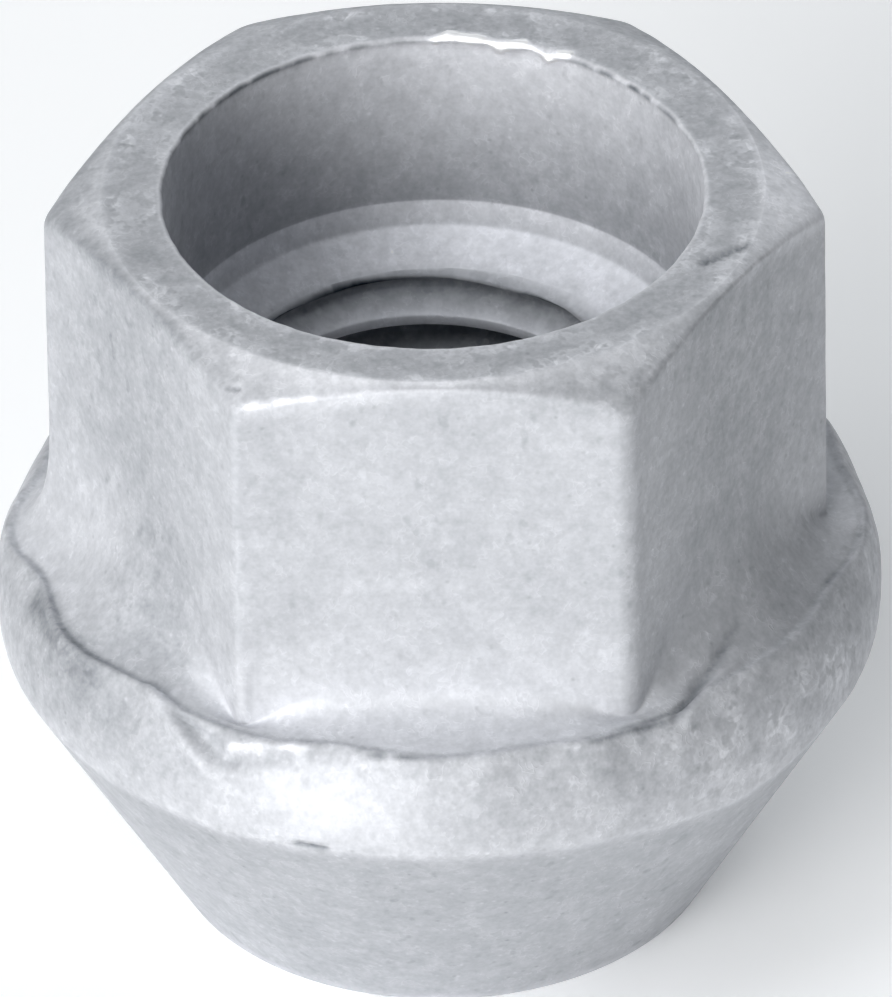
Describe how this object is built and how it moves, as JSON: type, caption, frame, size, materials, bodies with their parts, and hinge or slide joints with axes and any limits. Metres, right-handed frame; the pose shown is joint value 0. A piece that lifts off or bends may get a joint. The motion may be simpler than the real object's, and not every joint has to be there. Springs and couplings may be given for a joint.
{
  "type": "wheel lug nut",
  "caption": "Open-ended wheel nut with a conical seat, a bulging flange and a hexagon with a deep counterbore above the stud thread.",
  "frame": {"origin": "on the thread axis, in the plane of the flat ring on the nose that the nut stands on", "axes": "+Z along the thread axis from the nose to the hexagon, -Y out of the flat that faces the viewer, +X through a corner"},
  "size_m": [0.0248, 0.0248, 0.0223],
  "materials": {
    "coated_steel": "matte silver-grey flake coating on forged steel, slightly mottled"
  },
  "bodies": {
    "root": {"lug_nut": "coated_steel"}
  },
  "joints": []
}
